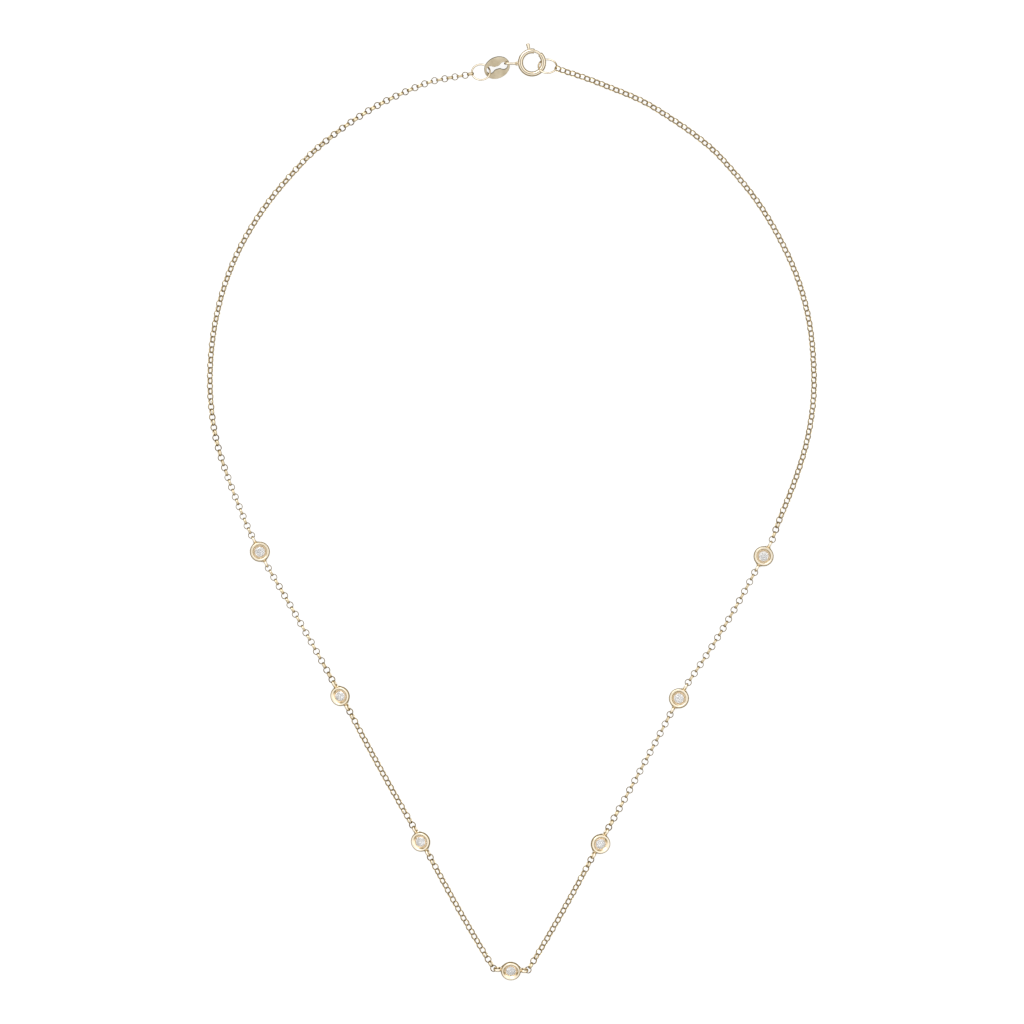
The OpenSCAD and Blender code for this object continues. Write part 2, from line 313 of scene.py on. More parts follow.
@dataclass(frozen=True)
class Palette:
    """The necklace's five finishes.

    Attributes:
        polished: Settings, rings and the clasp's bolt.
        chain: All links, in a darker copy of the polished gold: painted shade.
        satin: The tag plate.
        tube: The clasp's tube.
        stone: The diamonds.
    """

    polished: GoldFinish = GoldFinish(
        "gold_polished", (0.91, 0.82, 0.67), (0.89, 0.79, 0.61), 0.09, 0.06, 1e-6)
    # Painted shade: the chain's colours are a darker copy of the polished gold, so that the thin
    # links look darker all over.
    chain: GoldFinish = GoldFinish(
        "gold_chain", (0.715, 0.62, 0.445), (0.685, 0.58, 0.39), 0.14, 0.1, 1e-6)
    # Painted shade: the satin's last colour, a dark brown, is laid on the tag plate's side wall.
    satin: GoldFinish = GoldFinish(
        "gold_satin", (0.67, 0.59, 0.44), (0.44, 0.365, 0.235), 0.4, 0.16, 6e-6, (1.0, 5.0, 1.0),
        (0.26, 0.23, 0.15))
    # Painted reflection: the tube's dark colour below is a band along its top and bottom that
    # stands in for the dark zenith mirrored there.
    tube: GoldFinish = GoldFinish(
        "gold_tube", (0.85, 0.77, 0.63), (0.83, 0.74, 0.58), 0.09, 0.06, 1e-6,
        hollow=(0.34, 0.27, 0.17))
    stone: StoneFinish = StoneFinish()


# Mesh making

def turned(x: float = 0.0, y: float = 0.0, z: float = 0.0) -> Matrix:
    """A rotation about X, then Y, then Z, in degrees."""
    return (Matrix.Rotation(math.radians(z), 4, "Z") @ Matrix.Rotation(math.radians(y), 4, "Y")
            @ Matrix.Rotation(math.radians(x), 4, "X"))


def moved(x: float, y: float, z: float) -> Matrix:
    """A translation in millimetres."""
    return Matrix.Translation((x, y, z))


def stretched(x: float = 1.0, y: float = 1.0, z: float = 1.0) -> Matrix:
    """A stretch along each axis."""
    return Matrix.Diagonal((x, y, z, 1.0))


def arc(centre: tuple[float, float], radius: float, start: float, end: float,
        steps: int) -> list[tuple[float, float]]:
    """The steps + 1 points of an arc between two angles in degrees."""
    angles = [math.radians(start + (end - start) * i / steps) for i in range(steps + 1)]
    return [(centre[0] + radius * math.cos(a), centre[1] + radius * math.sin(a)) for a in angles]


def circle_path(radius: float, count: int, start: float = 0.0, end: float = 360.0) -> list[Vector]:
    """Points on an arc in the plane z = 0, or on a whole circle, which isn't closed twice."""
    steps = count if end - start == 360.0 else count - 1
    return [Vector((*place, 0.0)) for place in arc((0.0, 0.0), radius, start, end, steps)[:count]]


class Maker:
    """Collects closed shells in millimetres and turns them into one mesh object."""

    def __init__(self) -> None:
        """Starts an empty mesh."""
        self.bm = bmesh.new()

    def skin(self, rings: Sequence[Sequence[Vector]], closed: bool) -> None:
        """Skins rings of points with quads.

        Args:
            rings: Rings of the same number of points.
            closed: Whether the last ring meets the first; if not, both get a cap.
        """
        rows = [[self.bm.verts.new(p) for p in ring] for ring in rings]
        count = len(rows[0])
        for j in range(len(rows) if closed else len(rows) - 1):
            low, high = rows[j], rows[(j + 1) % len(rows)]
            for i in range(count):
                k = (i + 1) % count
                self.bm.faces.new((low[i], low[k], high[k], high[i]))
        if not closed:
            self.bm.faces.new(rows[0][::-1])
            self.bm.faces.new(rows[-1])

    def lathe(self, profile: Profile, segments: int, place: Matrix) -> None:
        """Turns a closed profile of radii and heights about Z.

        Args:
            profile: Points off the axis, joined last to first.
            segments: Steps around the axis.
            place: Where the turned shape goes.
        """
        angles = [math.tau * i / segments for i in range(segments)]
        self.skin([[place @ Vector((r * math.cos(a), r * math.sin(a), z)) for r, z in profile]
                   for a in angles], closed=True)

    def spindle(self, profile: Profile, segments: int, place: Matrix) -> None:
        """Turns an open profile about Z into a shape that is closed at both ends.

        Args:
            profile: Points off the axis, from one end to the other.
            segments: Steps around the axis.
            place: Where the turned shape goes.
        """
        angles = [math.tau * i / segments for i in range(segments)]
        self.skin([[place @ Vector((r * math.cos(a), r * math.sin(a), z)) for a in angles]
                   for r, z in profile], closed=False)

    def wire(self, path: Sequence[Vector], radii: Sequence[float], sides: int, place: Matrix,
             closed: bool = True) -> None:
        """Sweeps a round wire along a flat path.

        Args:
            path: Points of the wire's centreline, all in the plane z = 0.
            radii: The wire's radius at each point.
            sides: Sides of the wire.
            place: Where the wire goes.
            closed: Whether the path closes on itself.
        """
        up = Vector((0.0, 0.0, 1.0))
        rings = []
        for i, point in enumerate(path):
            before = path[i - 1] if i or closed else point
            after = path[(i + 1) % len(path)] if i + 1 < len(path) or closed else point
            side = up.cross(after - before).normalized()
            rings.append([
                place @ (point + radii[i] * (side * math.cos(math.tau * k / sides)
                                             + up * math.sin(math.tau * k / sides)))
                for k in range(sides)])
        self.skin(rings, closed)

    def finish(self, name: str, material: bpy.types.Material,
               crease: float = CREASE) -> bpy.types.Object:
        """Makes the object.

        Args:
            name: The object's name.
            material: Its material.
            crease: Edges sharper than this many degrees stay sharp.

        Returns:
            The object, in metres, at the origin.
        """
        bmesh.ops.remove_doubles(self.bm, verts=self.bm.verts, dist=MERGE_MM)
        bmesh.ops.recalc_face_normals(self.bm, faces=self.bm.faces)
        bmesh.ops.scale(self.bm, vec=(MM, MM, MM), verts=self.bm.verts)
        mesh = bpy.data.meshes.new(name)
        self.bm.to_mesh(mesh)
        self.bm.free()
        return mesh_object(name, mesh, material, crease)


def merge(mesh: bpy.types.Mesh, outward: bool) -> None:
    """Merges a mesh's doubled points.

    Args:
        mesh: The mesh, in metres.
        outward: Whether its faces are also made to point outwards.
    """
    bm = bmesh.new()
    bm.from_mesh(mesh)
    bmesh.ops.remove_doubles(bm, verts=bm.verts, dist=MERGE_MM * MM)
    if outward:
        bmesh.ops.recalc_face_normals(bm, faces=bm.faces)
    bm.to_mesh(mesh)
    bm.free()


def mark_painted_light(mesh: bpy.types.Mesh, hollow: Sequence[bool], domain: str = "POINT") -> None:
    """Marks the points or faces that get the gold's painted reflection or painted shade colour."""
    layer = mesh.attributes.new(GoldFinish.PAINTED_LIGHT, "FLOAT", domain)
    layer.data.foreach_set("value", [float(mark) for mark in hollow])


def scene_object(name: str, data: bpy.types.ID) -> bpy.types.Object:
    """Makes an object in the scene, at the origin.

    Args:
        name: The object's name.
        data: Its mesh, curve, camera or light.

    Returns:
        The object.
    """
    made = bpy.data.objects.new(name, data)
    bpy.context.scene.collection.objects.link(made)
    return made


def mesh_object(name: str, mesh: bpy.types.Mesh, material: bpy.types.Material,
                crease: float | None = None) -> bpy.types.Object:
    """Wraps a finished mesh in an object.

    Args:
        name: The object's name.
        mesh: Its mesh, in metres.
        material: Its only material.
        crease: Edges sharper than this many degrees stay sharp; None keeps the mesh's shading.

    Returns:
        The object, at the origin.
    """
    mesh.name = name
    mesh.materials.clear()
    mesh.materials.append(material)
    if crease is not None:
        mesh.shade_smooth()
        mesh.set_sharp_from_angle(angle=math.radians(crease))
    return scene_object(name, mesh)


def evaluated_mesh(carrier: bpy.types.Object) -> bpy.types.Mesh:
    """Turns a carrier with a modifier or a curve into a plain mesh, and removes it.

    Args:
        carrier: The object.

    Returns:
        Its evaluated mesh.
    """
    graph = bpy.context.evaluated_depsgraph_get()
    made = bpy.data.meshes.new_from_object(carrier.evaluated_get(graph))
    bpy.data.objects.remove(carrier)
    return made


def install(piece: bpy.types.Object, node: str, body: Body = Body.NECKLACE) -> None:
    """Puts a piece in the place of a construction node.

    Args:
        piece: The finished piece.
        node: The node that it stands for.
        body: The body that it moves with.
    """
    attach(piece, body.value)
    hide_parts(node)
    LOG.info("%s: %d faces", piece.name, len(piece.data.polygons))


# Settings and stones

@dataclass(frozen=True)
class Station:
    """Where a setting lies on the necklace.

    Attributes:
        x: Place across.
        y: Place along.
        yaw: Direction of the chain through it, in degrees.
        roll: How far it is rolled outwards, in degrees.
    """

    x: float
    y: float
    yaw: float
    roll: float

    def way(self) -> Vector:
        """The direction of its loops."""
        a = math.radians(self.yaw)
        return Vector((math.cos(a), math.sin(a), 0.0))


STATIONS = (
    Station(-44.5, -7.1, -63, 0),
    Station(-30.2, -32.5, -61, 20),
    Station(-16, -58.2, -61, 20),
    Station(-0.2, -80.9, -2.5, 25),
    Station(15.5, -58.6, 61, 18),
    Station(29.5, -33, 60.5, -6),
    Station(44.4, -7.9, 61.5, 0),
)


@dataclass(frozen=True)
class BezelSetting:
    """A turned bezel cup with a soldered loop on each side.

    Attributes:
        cup_r, cup_h, turns: Outer radius and height of the cup, and steps around it.
        rim_round, rim_fall, rim_steps: Width, height and steps of the rim's outer rounding.
        inner_r, inner_round, inner_steps: Start, radius and steps of its inner rounding.
        inner_end: Angle at which that meets the inner wall, which slopes by 45 degrees.
        lip_r, lip_z: Radius and height of the lip over the stone.
        lip_edge, lip_draft: Height of the lip's edge, and how much wider it is below.
        bowl: Outside, from the light hole up to the rim, as radius and height.
        seat: Inside, from the stone's groove down to the light hole.
        rest: The construction's bowl, on which a rolled cup rests.
        painted_reflection_r, painted_reflection_z: Radius within which the cup is open inside, and
        height from which; its points there get a painted reflection colour.
        loop_r, loop_wire: Radius of a side loop's centreline, and of its wire.
        loop_wide: How wide the wire is over its thickness.
        loop_x, loop_z: Place and height of a loop's centre.
        loop_steps, loop_sides: Steps round a loop, and sides of its wire.
        solder, solder_fall: How much thicker the wire is at the cup, and how fast that fades.
        shoulder: Section of a loop's shoulder, as radius and distance from the cup's axis.
        shoulder_sides: Sides of the shoulder.
        shoulder_wide, shoulder_flat: How wide and how high it is over its section.
    """

    cup_r: float = 1.77
    cup_h: float = 1.6
    turns: int = 72
    rim_round: float = 0.27
    rim_fall: float = 0.5
    rim_steps: int = 10
    inner_r: float = 1.46
    inner_round: float = 0.27
    inner_end: float = 135.0
    inner_steps: int = 6
    lip_r: float = 0.93
    lip_z: float = 1.3
    lip_edge: float = 0.05
    lip_draft: float = 0.005
    bowl: Profile = (
        (0.47, 0.0), (0.6, 0.0), (0.78, 0.07), (0.95, 0.18), (1.18, 0.345), (1.4, 0.53),
        (1.55, 0.685), (1.67, 0.84), (1.735, 0.95))
    seat: Profile = (
        (1.07, 1.13), (1.07, 1.024), (0.8, 0.81), (0.62, 0.45), (0.45, 0.14), (0.45, 0.02))
    rest: Profile = ((0.6, 0.0), (0.95, 0.18), (1.4, 0.52), (1.67, 0.84), (1.77, 1.1))
    painted_reflection_r: float = 1.12
    painted_reflection_z: float = 0.01
    loop_r: float = 0.57
    loop_wire: float = 0.12
    loop_wide: float = 1.8
    loop_x: float = 2.4
    loop_z: float = 0.7
    loop_steps: int = 40
    loop_sides: int = 12
    solder: float = 0.06
    solder_fall: int = 4
    shoulder: Profile = (
        (0.3, 1.12), (0.5, 1.3), (0.6, 1.45), (0.53, 1.53), (0.47, 1.6), (0.41, 1.67),
        (0.355, 1.74), (0.3, 1.81), (0.25, 1.87), (0.2, 1.92), (0.1, 1.96))
    shoulder_sides: int = 28
    shoulder_wide: float = 1.5
    shoulder_flat: float = 0.42

    def profile(self) -> list[tuple[float, float]]:
        """The cup's closed section.

        Returns:
            Radii and heights, from the light hole up the outside and down the inside.
        """
        crest_r = self.cup_r - self.rim_round
        angles = [math.radians(90.0 * i / self.rim_steps) for i in range(self.rim_steps + 1)]
        dome = [(crest_r + self.rim_round * math.cos(a),
                 self.cup_h - self.rim_fall * (1.0 - math.sin(a))) for a in angles]
        inner = arc((self.inner_r, self.cup_h - self.inner_round), self.inner_round,
                    90.0, self.inner_end, self.inner_steps)
        wall_r, wall_z = inner[-1]
        lip = [(self.lip_r, wall_z - (wall_r - self.lip_r)),
               (self.lip_r + self.lip_draft, self.lip_z - self.lip_edge)]
        return [*self.bowl, *dome, *inner, *lip, *self.seat]

    def lift(self, roll: float) -> float:
        """How high the loops' centres are when the rolled bowl rests on the surface."""
        a = math.radians(roll)
        return max(r * abs(math.sin(a)) - (z - self.loop_z) * math.cos(a) for r, z in self.rest)

    def place(self, station: Station) -> Matrix:
        """The transform from a setting's own frame to the necklace's."""
        return (moved(station.x, station.y, self.lift(station.roll))
                @ turned(x=station.roll, z=station.yaw) @ moved(0.0, 0.0, -self.loop_z))

    def loop_radii(self) -> list[float]:
        """The loop's wire radii, thicker where solder joins it to the cup."""
        angles = [math.tau * i / self.loop_steps for i in range(self.loop_steps)]
        near = [max(0.0, -math.cos(a)) for a in angles]
        return [self.loop_wire + self.solder * n ** self.solder_fall for n in near]

    def build(self, index: int, station: Station, gold: bpy.types.Material) -> None:
        """Makes one setting.

        Args:
            index: Its number, from 1.
            station: Its place.
            gold: Its material.
        """
        maker = Maker()
        place = self.place(station)
        maker.lathe(self.profile(), self.turns, place)
        wide = stretched(z=self.loop_wide)
        flat = stretched(y=self.shoulder_wide, z=self.shoulder_flat)
        for side in (0.0, 180.0):
            spun = place @ turned(z=side)
            maker.wire(circle_path(self.loop_r, self.loop_steps), self.loop_radii(),
                       self.loop_sides,
                       spun @ moved(self.loop_x, 0.0, self.loop_z) @ turned(x=90.0) @ wide)
            maker.spindle(self.shoulder, self.shoulder_sides,
                          spun @ moved(0.0, 0.0, self.loop_z) @ flat @ turned(y=90.0))
        node = f"setting_{index}"
        piece = maker.finish(f"bezel_{node}", gold)
        own = [place.inverted() @ (vertex.co / MM) for vertex in piece.data.vertices]
        # Painted reflection: the cup's lip, seat and the outside round its light hole get the
        # warmer, deeper gold of gold mirrored in gold.
        mark_painted_light(piece.data, [
            math.hypot(p.x, p.y) < self.painted_reflection_r and p.z > self.painted_reflection_z for p in own])
        install(piece, node)


@dataclass(frozen=True)
class Brilliants:
    """The seven faceted stones, which keep their construction nodes.

    Attributes:
        count: Number of stones.
    """

    count: int = 7

    def dress(self, stone: bpy.types.Material) -> None:
        """Gives each stone its material.

        Args:
            stone: The stones' material.
        """
        for index in range(1, self.count + 1):
            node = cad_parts[f"diamond_{index}"]
            for place in node.material_slots:
                place.material = stone
            LOG.info("%s: dressed", node.name)


# Chain

@dataclass(frozen=True)
class LinkSize:
    """One belcher link.

    Attributes:
        outer_d: Outer diameter.
        wire, band: Thickness of the band towards the link's centre, and its width.
        steps, sides: Segments round the link, and sides of the band's section.
        wobble: Largest random turn of a link about the chain, in degrees.
        crease: Bend from which an edge of the band shows as an edge, in degrees.
    """

    outer_d: float = 1.24
    wire: float = 0.125
    band: float = 0.42
    steps: int = 16
    sides: int = 6
    wobble: float = 3.0
    crease: float = 26.0

    def middle_r(self) -> float:
        """Radius half way through the band."""
        return (self.outer_d - self.wire) / 2

    def half_side(self) -> float:
        """Half of the angle that one side of the section takes."""
        return math.pi / self.sides


class LinkTree(NodeMaker):
    """Geometry Nodes that thread links along a route with a given roll at each point."""

    ROLL = "roll"

    def __init__(self, size: LinkSize) -> None:
        """Builds the tree.

        Args:
            size: The link's sizes, the defaults of the tree's inputs.
        """
        super().__init__(bpy.data.node_groups.new("belcher_links", "GeometryNodeTree"))
        self.sockets: dict[str, str] = {}
        face = self.tree.interface
        face.new_socket("Geometry", in_out="INPUT", socket_type="NodeSocketGeometry")
        for name, kind, value in (
            ("Links", "NodeSocketInt", 25),
            ("Link radius", "NodeSocketFloat", size.middle_r() * MM),
            ("Band thickness", "NodeSocketFloat", size.wire * MM),
            ("Band width", "NodeSocketFloat", size.band * MM),
            ("Segments", "NodeSocketInt", size.steps),
            ("Band sides", "NodeSocketInt", size.sides),
            ("Wobble", "NodeSocketFloat", math.radians(size.wobble)),
            ("Seed", "NodeSocketInt", 7),
            ("Material", "NodeSocketMaterial", None),
        ):
            socket = face.new_socket(name, in_out="INPUT", socket_type=kind)
            if value is not None:
                socket.default_value = value
            self.sockets[name] = socket.identifier
        face.new_socket("Geometry", in_out="OUTPUT", socket_type="NodeSocketGeometry")
        self._join(size)

    def _given(self, name: str) -> Flow:
        """One of the tree's inputs."""
        return self.node("NodeGroupInput", output=name)

    def _join(self, size: LinkSize) -> None:
        """Adds and joins the nodes.

        Args:
            size: The link's sizes.
        """
        route = self.node("GeometryNodeMeshToCurve", {}, {"Mesh": self._given("Geometry")})
        smooth = self.node("GeometryNodeCurveSplineType", {"spline_type": "CATMULL_ROM"},
                           {"Curve": route})
        even = self.node("GeometryNodeResampleCurve", {"mode": "COUNT"},
                         {"Curve": smooth, "Count": self._given("Links")})
        placed = self.node("GeometryNodeInstanceOnPoints", {}, {
            "Points": even, "Instance": self._link(size), "Rotation": self._turn()})
        real = self.node("GeometryNodeRealizeInstances", {}, {"Geometry": placed})
        dressed = self.node("GeometryNodeSetMaterial", {},
                            {"Geometry": real, "Material": self._given("Material")})
        self.node("NodeGroupOutput", {}, {"Geometry": dressed})

    def _turn(self) -> Flow:
        """How each link is turned: along the route, rolled, and every second one at 90 degrees.

        Returns:
            The rotation.
        """
        roll = self.node("GeometryNodeInputNamedAttribute", {"data_type": "FLOAT"},
                         {"Name": self.ROLL}, "Attribute")
        index = self.node("GeometryNodeInputIndex")
        wobble = self._given("Wobble")
        chance = self.node("FunctionNodeRandomValue", {"data_type": "FLOAT"}, {
            "Min": wobble * -1.0, "Max": wobble, "ID": index, "Seed": self._given("Seed")},
            "Value")
        about = roll + index % 2.0 * (math.pi / 2) + chance
        angles = self.node("ShaderNodeCombineXYZ", {}, {"X": about})
        spin = self.node("FunctionNodeEulerToRotation", {}, {"Euler": angles})
        heading = self.node(
            "FunctionNodeAxesToRotation", {"primary_axis": "X", "secondary_axis": "Z"},
            {"Primary Axis": self.node("GeometryNodeInputTangent"),
             "Secondary Axis": (0.0, 0.0, 1.0)})
        return self.node("FunctionNodeRotateRotation", {"rotation_space": "LOCAL"},
                         {"Rotation": heading, "Rotate By": spin})

    def _link(self, size: LinkSize) -> Flow:
        """One link, lying flat: a thin band swept round a circle, with its bends kept crisp.

        Args:
            size: The link's sizes.

        Returns:
            The link's mesh.
        """
        circle = self.node("GeometryNodeCurvePrimitiveCircle", {"mode": "RADIUS"}, {
            "Resolution": self._given("Segments"), "Radius": self._given("Link radius")})
        section = self.node("GeometryNodeCurvePrimitiveCircle", {"mode": "RADIUS"},
                            {"Resolution": self._given("Band sides"), "Radius": 1.0})
        half_side = size.half_side()
        upright = self.node("GeometryNodeTransform", {},
                            {"Geometry": section, "Rotation": (0.0, 0.0, half_side)})
        widths = self.node("ShaderNodeCombineXYZ", {}, {
            "X": self._given("Band thickness") * (0.5 / math.cos(half_side)),
            "Y": self._given("Band width") * 0.5, "Z": 1.0})
        flat = self.node("GeometryNodeTransform", {}, {"Geometry": upright, "Scale": widths})
        swept = self.node("GeometryNodeCurveToMesh", {}, {"Curve": circle, "Profile Curve": flat})
        soft = self.node("GeometryNodeSetShadeSmooth", {}, {"Geometry": swept})
        bend = self.node("GeometryNodeInputMeshEdgeAngle", output="Unsigned Angle")
        return self.node("GeometryNodeSetShadeSmooth", {"domain": "EDGE"}, {
            "Geometry": soft, "Shade Smooth": bend < math.radians(size.crease)})

    def thread(self, name: str, route: Sequence[Vector], rolls: Sequence[float], links: int,
               seed: int, gold: bpy.types.Material) -> bpy.types.Object:
        """Threads links on a route.

        Args:
            name: The chain's name.
            route: Points from the first link's centre to the last's, in millimetres.
            rolls: Roll of the links at each point, in degrees.
            links: Number of links.
            seed: Seed of the links' wobble.
            gold: The chain's material.

        Returns:
            The chain, a plain mesh.
        """
        mesh = bpy.data.meshes.new(name + "_route")
        mesh.from_pydata([tuple(p * MM) for p in route],
                         [(i, i + 1) for i in range(len(route) - 1)], [])
        roll = mesh.attributes.new(self.ROLL, "FLOAT", "POINT")
        roll.data.foreach_set("value", [math.radians(r) for r in rolls])
        carrier = scene_object(name + "_route", mesh)
        threader = carrier.modifiers.new("links", "NODES")
        threader.node_group = self.tree
        for socket, value in (("Links", links), ("Seed", seed), ("Material", gold)):
            threader[self.sockets[socket]] = value
        made = evaluated_mesh(carrier)
        bpy.data.meshes.remove(mesh)
        return mesh_object(name, made, gold)


@dataclass(frozen=True)
class FrontStretch:
    """A stretch of chain between two neighbouring settings.

    Attributes:
        index: Its number, from 1.
        bow: How far it bows sideways.
        roll: Roll of its links half way.
        links: Number of links.
        reach: How far a first link stands beyond the loop's far wire, on a straight chain.
        chain_z: Height of the chain's centreline on the surface.
        points: Number of route points.
        settle: How fast it comes down to that height: at 3, within a third of its length.
        hold: How much of the middle keeps the full roll: at 1, one point.
    """

    index: int
    bow: float
    roll: float
    links: int = 25
    reach: float = 0.285
    chain_z: float = 0.63
    points: int = 13
    settle: float = 3.0
    hold: float = 1.4

    def build(self, setting: BezelSetting, tree: LinkTree, gold: bpy.types.Material) -> None:
        """Makes the stretch.

        Args:
            setting: The settings' sizes.
            tree: The tree that threads links.
            gold: The chain's material.
        """
        first, last = STATIONS[self.index - 1], STATIONS[self.index]
        wire_x = setting.loop_x + setting.loop_r
        start = Vector((first.x, first.y, setting.lift(first.roll))) + wire_x * first.way()
        end = Vector((last.x, last.y, setting.lift(last.roll))) - wire_x * last.way()
        along = Vector((end.x - start.x, end.y - start.y, 0.0)).normalized()
        side = Vector((-along.y, along.x, 0.0))
        straight_first, straight_last = first.way().dot(along), last.way().dot(along)
        start += self.reach * straight_first * along
        end -= self.reach * straight_last * along
        route, rolls = [], []
        for i in range(self.points):
            t = i / (self.points - 1)
            middle = 4.0 * t * (1.0 - t)
            point = start.lerp(end, t) + side * self.bow * middle
            point.z += (self.chain_z - point.z) * min(1.0, self.settle * min(t, 1.0 - t))
            route.append(point)
            ends = (first.roll * straight_first) * (1.0 - t) + (last.roll * straight_last) * t
            full = min(1.0, self.hold * math.sin(math.pi * t))
            rolls.append(ends + (self.roll - ends) * full)
        name = f"front_{self.index}"
        made = tree.thread(f"links_{name}", route, rolls, self.links, self.index, gold)
        install(made, f"chain_{name}")


@dataclass(frozen=True)
class BackChain:
    """A back chain, from a side setting up to its jump ring.

    Attributes:
        side: The side that it is on.
        links: Number of links.
        seed: Seed of the links' wobble.
        route: Places of the centreline, with the links' roll at each in degrees.
    """

    side: Side
    links: int
    seed: int
    route: tuple[tuple[float, float, float, float], ...]

    def build(self, tree: LinkTree, gold: bpy.types.Material) -> None:
        """Makes the chain.

        Args:
            tree: The tree that threads links.
            gold: The chain's material.
        """
        places = [Vector(p[:3]) for p in self.route]
        rolls = [p[3] for p in self.route]
        name = f"back_{self.side.value}"
        made = tree.thread(f"links_{name}", places, rolls, self.links, self.seed, gold)
        install(made, f"chain_{name}")


@dataclass(frozen=True)
class EndLink:
    """The single link that joins a back chain to its jump ring.

    Attributes:
        side: The side that it is on.
        at: Its centre.
        roll: Its roll about the chain, in degrees.
        yaw: The chain's direction there, in degrees.
    """

    side: Side
    at: Point
    roll: float
    yaw: float

    def build(self, size: LinkSize, gold: bpy.types.Material) -> None:
        """Makes the link.

        Args:
            size: The link's sizes.
            gold: Its material.
        """
        half_side = size.half_side()
        thick = size.wire / 2 / math.cos(half_side)
        corners = [half_side * (2 * i + 1) for i in range(size.sides)]
        section = [(size.middle_r() + thick * math.cos(a), size.band / 2 * math.sin(a))
                   for a in corners]
        maker = Maker()
        maker.lathe(section, size.steps, moved(*self.at) @ turned(x=self.roll, z=self.yaw))
        install(maker.finish(f"joining_link_{self.side.value}", gold, size.crease),
                f"end_link_{self.side.value}")


# Clasp, rings and tag

@dataclass(frozen=True)
class JumpRing:
    """A large round jump ring, tipped about X.

    Attributes:
        side: The side that it is on.
        at: Its centre.
        tip: Its tip about X, in degrees.
        radius, wire: Radius of its centreline, and of its wire.
        steps, sides: Steps round the ring, and sides of its wire.
    """

    side: Side
    at: Point
    tip: float
    radius: float = 1.6
    wire: float = 0.15
    steps: int = 72
    sides: int = 14

    def build(self, gold: bpy.types.Material) -> None:
        """Makes the ring.

        Args:
            gold: Its material.
        """
        maker = Maker()
        maker.wire(circle_path(self.radius, self.steps), [self.wire] * self.steps, self.sides,
                   moved(*self.at) @ turned(x=self.tip))
        node = f"jump_ring_{self.side.value}"
        install(maker.finish(f"round_{node}", gold), node)


@dataclass(frozen=True)
class ConnectorRing:
    """The small oval ring on edge between the tag plate and the clasp's eye.

    Attributes:
        left_x, right_x: The ends of its centreline.
        y, z: Its plane and its height.
        radius, wire: Radius of its round ends, and of its wire.
        wide: How wide the wire is over its thickness.
        steps, sides: Points on a round end, and sides of its wire.
    """

    left_x: float = -1.29
    right_x: float = 0.857
    y: float = 79.063
    z: float = 1.05
    radius: float = 0.68
    wire: float = 0.13
    wide: float = 1.3
    steps: int = 15
    sides: int = 12

    def build(self, gold: bpy.types.Material) -> None:
        """Makes the ring.

        Args:
            gold: Its material.
        """
        half = Vector(((self.right_x - self.left_x) / 2 - self.radius, 0.0, 0.0))
        path = [p + half for p in circle_path(self.radius, self.steps, -90.0, 90.0)]
        path += [p - half for p in circle_path(self.radius, self.steps, 90.0, 270.0)]
        maker = Maker()
        maker.wire(path, [self.wire] * len(path), self.sides,
                   moved((self.left_x + self.right_x) / 2, self.y, self.z) @ turned(x=90.0)
                   @ stretched(z=self.wide))
        install(maker.finish("oval_connector_ring", gold), "connector_ring")


